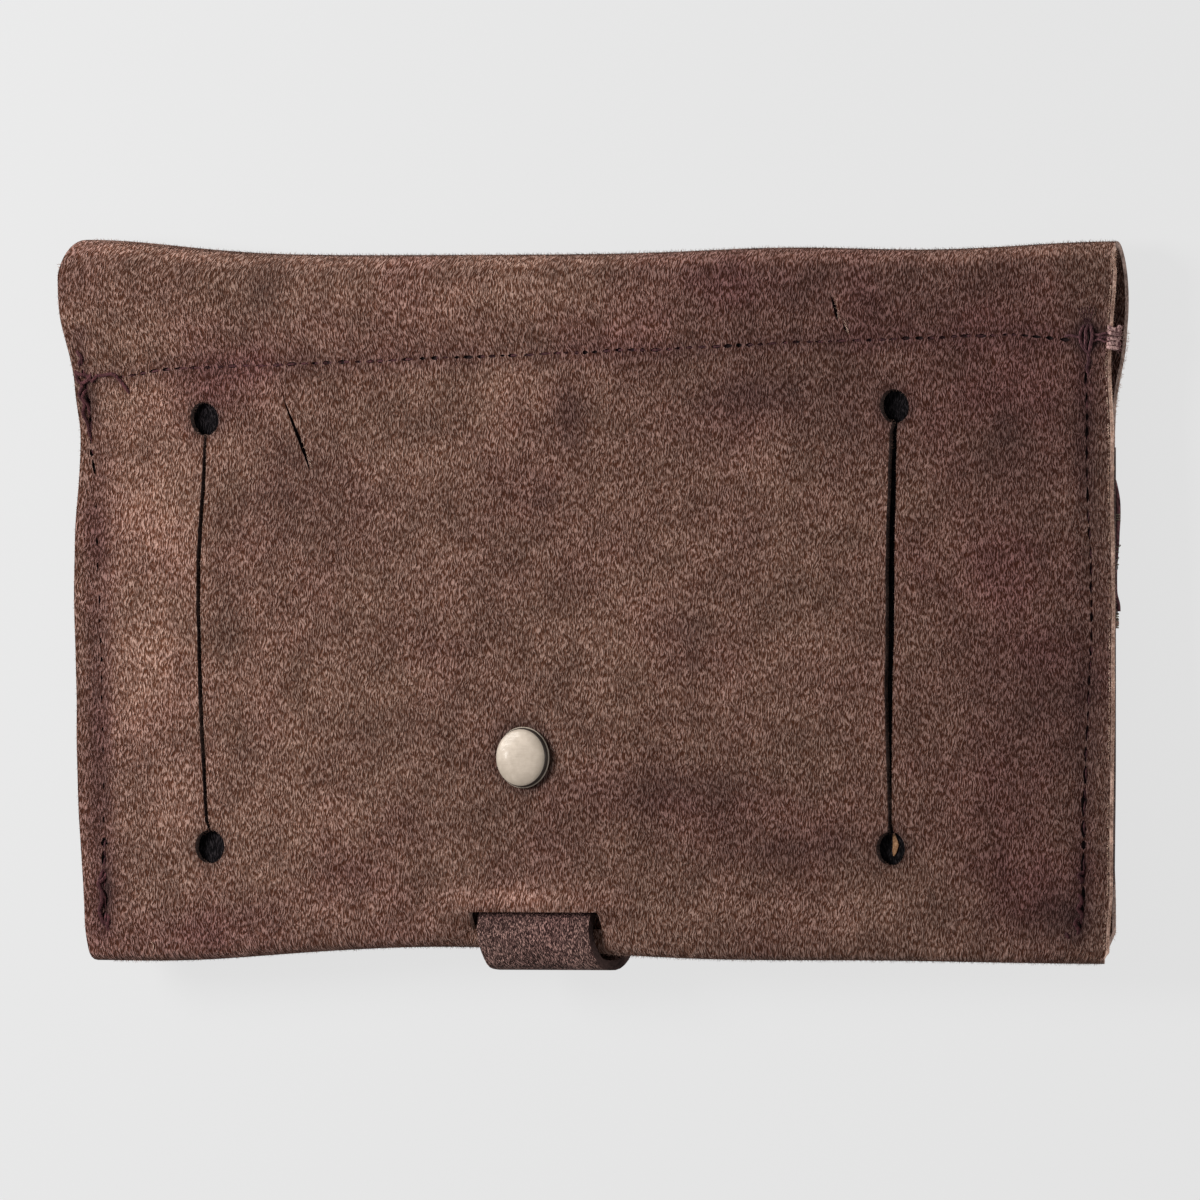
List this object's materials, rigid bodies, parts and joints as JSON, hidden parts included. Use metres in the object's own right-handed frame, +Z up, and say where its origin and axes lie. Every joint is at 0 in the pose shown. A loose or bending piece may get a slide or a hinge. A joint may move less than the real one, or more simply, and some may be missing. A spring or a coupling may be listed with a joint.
{
  "type": "belt pouch with bead strip",
  "caption": "Flat suede belt pouch with belt slits in its back, a folded-over flap, a strap with a press snap and a strip of beadwork",
  "frame": {"origin": "middle of the closed pouch's outline, on the surface that it lies on", "axes": "+X across the pouch along its top fold, +Y from the bottom fold towards the top fold, +Z up out of the back panel; it lies on its front"},
  "size_m": [0.2484, 0.1486, 0.0171],
  "materials": {
    "brown_suede": "matt napped suede, mottled brown",
    "lining_suede": "matt split leather",
    "strap_suede": "matt napped suede, darker than the pouch",
    "aged_nickel": "worn creamy nickel plate",
    "dark_bead": "opaque dark glass beads",
    "light_bead": "opaque cream glass beads",
    "red_bead": "opaque red glass beads"
  },
  "bodies": {
    "root": {"folded_leather": "brown_suede", "lining_panel": "lining_suede", "closure_strap": "strap_suede", "back_rivet_cap": "aged_nickel", "back_rivet_base": "aged_nickel", "snap_cap": "aged_nickel", "snap_socket": "aged_nickel", "snap_stud": "aged_nickel", "snap_eyelet": "aged_nickel", "bead_strip_ground": "dark_bead", "bead_diamond_1": "light_bead", "bead_diamond_2": "light_bead", "bead_diamond_3": "light_bead", "bead_diamond_4": "light_bead", "bead_diamond_5": "light_bead", "bead_edge_lower": "red_bead", "bead_edge_upper": "red_bead"}
  },
  "joints": []
}
